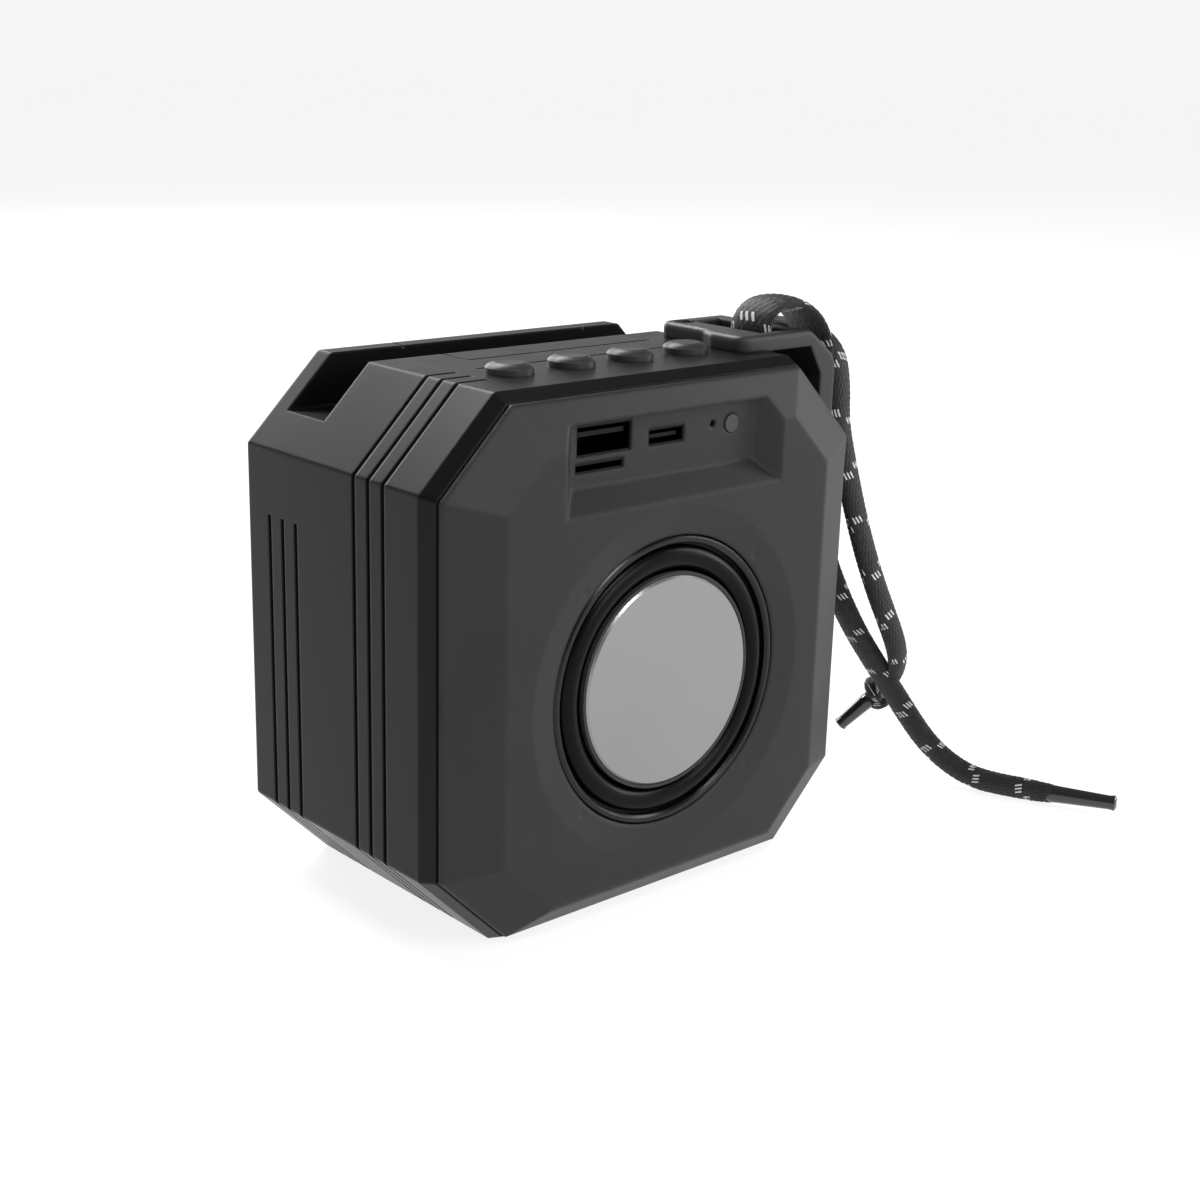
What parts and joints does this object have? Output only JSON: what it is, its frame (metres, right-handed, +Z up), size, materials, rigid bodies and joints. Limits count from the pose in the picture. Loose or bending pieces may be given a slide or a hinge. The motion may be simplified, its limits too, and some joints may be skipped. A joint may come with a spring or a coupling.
{
  "type": "portable loudspeaker",
  "caption": "Small octagonal splash-proof loudspeaker with a round driver, port pocket, top keys, phone slot, side strap lug and a braided cord.",
  "frame": {"origin": "centre of the housing's flat underside, half way along the housing's depth", "axes": "+X to the user's right when facing the loudspeaker, +Y to the back, +Z up"},
  "size_m": [0.1608, 0.0949, 0.1129],
  "materials": {
    "shell_plastic": "satin black moulded plastic",
    "panel_coat": "soft matte coat over moulded plastic",
    "button_rubber": "matte silicone rubber",
    "lug_rubber": "stiff satin rubber",
    "seal_rubber": "black rubber",
    "trim_plastic": "polished black plastic",
    "disc_metal": "satin aluminium",
    "cone_plastic": "black moulded cone",
    "former_metal": "plain aluminium foil",
    "winding": "enamelled copper wire",
    "spider_cloth": "resin-dipped cloth",
    "frame_steel": "black coated pressed steel",
    "plate_steel": "zinc-plated steel",
    "ferrite": "dark sintered ferrite",
    "screw_steel": "plated steel",
    "lug_screw_steel": "blackened steel",
    "board_green": "lacquered circuit board",
    "socket_metal": "plated sheet steel",
    "part_black": "black moulded part",
    "can_metal": "aluminium can",
    "lamp_clear": "frosted clear plastic",
    "cell_wrap": "blue film wrap",
    "cord_braid": "black braid with light flecks",
    "tip_plastic": "glossy sealed end"
  },
  "bodies": {
    "housing": {"amplifier_chip": "part_black", "board_headers": "part_black", "board_screws": "screw_steel", "capacitors": "can_metal", "card_socket": "socket_metal", "cell_contacts": "socket_metal", "cell_holder": "part_black", "cord_knot": "cord_braid", "cord_lower": "cord_braid", "cord_tip_long": "tip_plastic", "cord_tip_short": "tip_plastic", "cord_upper": "cord_braid", "driver_basket": "frame_steel", "driver_gasket": "seal_rubber", "driver_screws": "screw_steel", "driver_trim_ring": "trim_plastic", "front_panel": "panel_coat", "front_panel_screws": "screw_steel", "housing_shell": "shell_plastic", "key_board": "board_green", "key_switches": "part_black", "lamp_chip": "lamp_clear", "lamp_lens": "lamp_clear", "lug_screw": "lug_screw_steel", "magnet_front_plate": "plate_steel", "main_board": "board_green", "microphone": "part_black", "power_cell": "cell_wrap", "radio_module": "socket_metal", "rear_cover": "shell_plastic", "rear_cover_screws": "screw_steel", "ring_magnet": "ferrite", "spider": "spider_cloth", "strap_lug": "lug_rubber", "surround_roll": "seal_rubber", "terminal_strip": "part_black", "usb_a_socket": "socket_metal", "usb_c_socket": "socket_metal", "yoke": "plate_steel"},
    "cone_assembly": {"centre_disc": "disc_metal", "cone": "cone_plastic", "coil_former": "former_metal", "voice_coil": "winding"},
    "button_1_key": {"button_1": "button_rubber"},
    "button_2_key": {"button_2": "button_rubber"},
    "button_3_key": {"button_3": "button_rubber"},
    "button_4_key": {"button_4": "button_rubber"}
  },
  "joints": [
    {"name": "cone_excursion", "type": "slide", "parent": "housing", "child": "cone_assembly", "axis": [0, 1, 0], "range_m": [-0.0015, 0.0015], "stiffness_N_per_m": 1500, "deforming": ["surround_roll", "spider"]},
    {"name": "button_1_press", "type": "slide", "parent": "housing", "child": "button_1_key", "axis": [0, 0, -1], "range_m": [0, 0.0005], "stiffness_N_per_m": 900},
    {"name": "button_2_press", "type": "slide", "parent": "housing", "child": "button_2_key", "axis": [0, 0, -1], "range_m": [0, 0.0005], "stiffness_N_per_m": 900},
    {"name": "button_3_press", "type": "slide", "parent": "housing", "child": "button_3_key", "axis": [0, 0, -1], "range_m": [0, 0.0005], "stiffness_N_per_m": 900},
    {"name": "button_4_press", "type": "slide", "parent": "housing", "child": "button_4_key", "axis": [0, 0, -1], "range_m": [0, 0.0005], "stiffness_N_per_m": 900}
  ]
}
